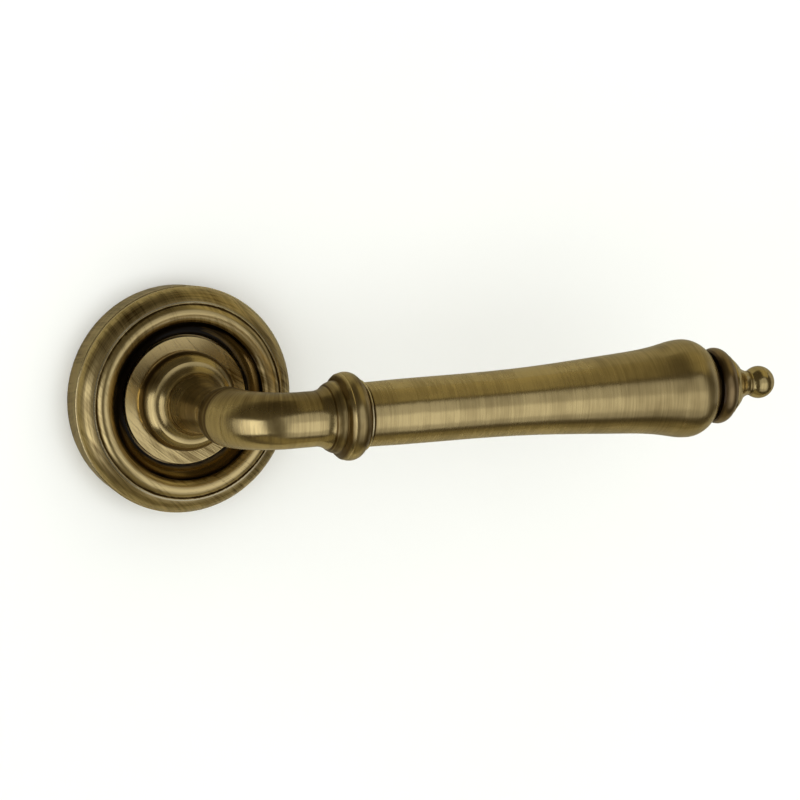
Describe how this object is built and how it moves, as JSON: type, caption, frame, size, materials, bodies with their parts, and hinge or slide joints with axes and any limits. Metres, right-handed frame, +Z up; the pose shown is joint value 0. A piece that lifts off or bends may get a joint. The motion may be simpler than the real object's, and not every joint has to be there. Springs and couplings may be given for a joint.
{
  "type": "door lever handle",
  "caption": "Door lever handle on a round rose, with a sprung lever, ring collar, flared round grip and ball finial, in antique brass.",
  "frame": {"origin": "centre of the rose's back face, on the spindle's axis, where it meets the door", "axes": "+X along the lever, +Z up, +Y into the door along the spindle"},
  "size_m": [0.1609, 0.1196, 0.0536],
  "materials": {
    "antique_brass": "satin, fine turned brushing",
    "polished_antique_brass": "polished",
    "dark_antique_brass": "satin, darkened",
    "zinc_steel": "bright zinc",
    "spring_steel": "bright wire",
    "black_steel": "oiled black",
    "cast_brass": "as machined",
    "nylon": "matt"
  },
  "bodies": {
    "rose": {"rose_cover": "antique_brass", "dish_ring": "dark_antique_brass", "sub_rose": "cast_brass", "back_plate": "zinc_steel", "plate_screws": "zinc_steel", "stop_pins": "spring_steel", "bearing_bush": "nylon", "return_spring": "spring_steel", "mounting_posts": "zinc_steel", "through_bolts": "zinc_steel", "wood_screws": "zinc_steel"},
    "lever": {"lever_neck": "antique_brass", "collar_ring": "antique_brass", "grip": "antique_brass", "end_bead": "antique_brass", "finial": "polished_antique_brass", "tie_rod": "zinc_steel", "drive_cam": "zinc_steel", "retaining_washer": "zinc_steel", "circlip": "spring_steel", "spindle": "zinc_steel", "grub_screw": "black_steel"}
  },
  "joints": [
    {"name": "lever_turn", "type": "hinge", "parent": "rose", "child": "lever", "pos_m": [0, 0, 0], "axis": [0, 1, 0], "range_deg": [0, 45], "stiffness_Nm_per_rad": 0.8, "springref_deg": -34.38, "deforming": ["return_spring"]}
  ]
}
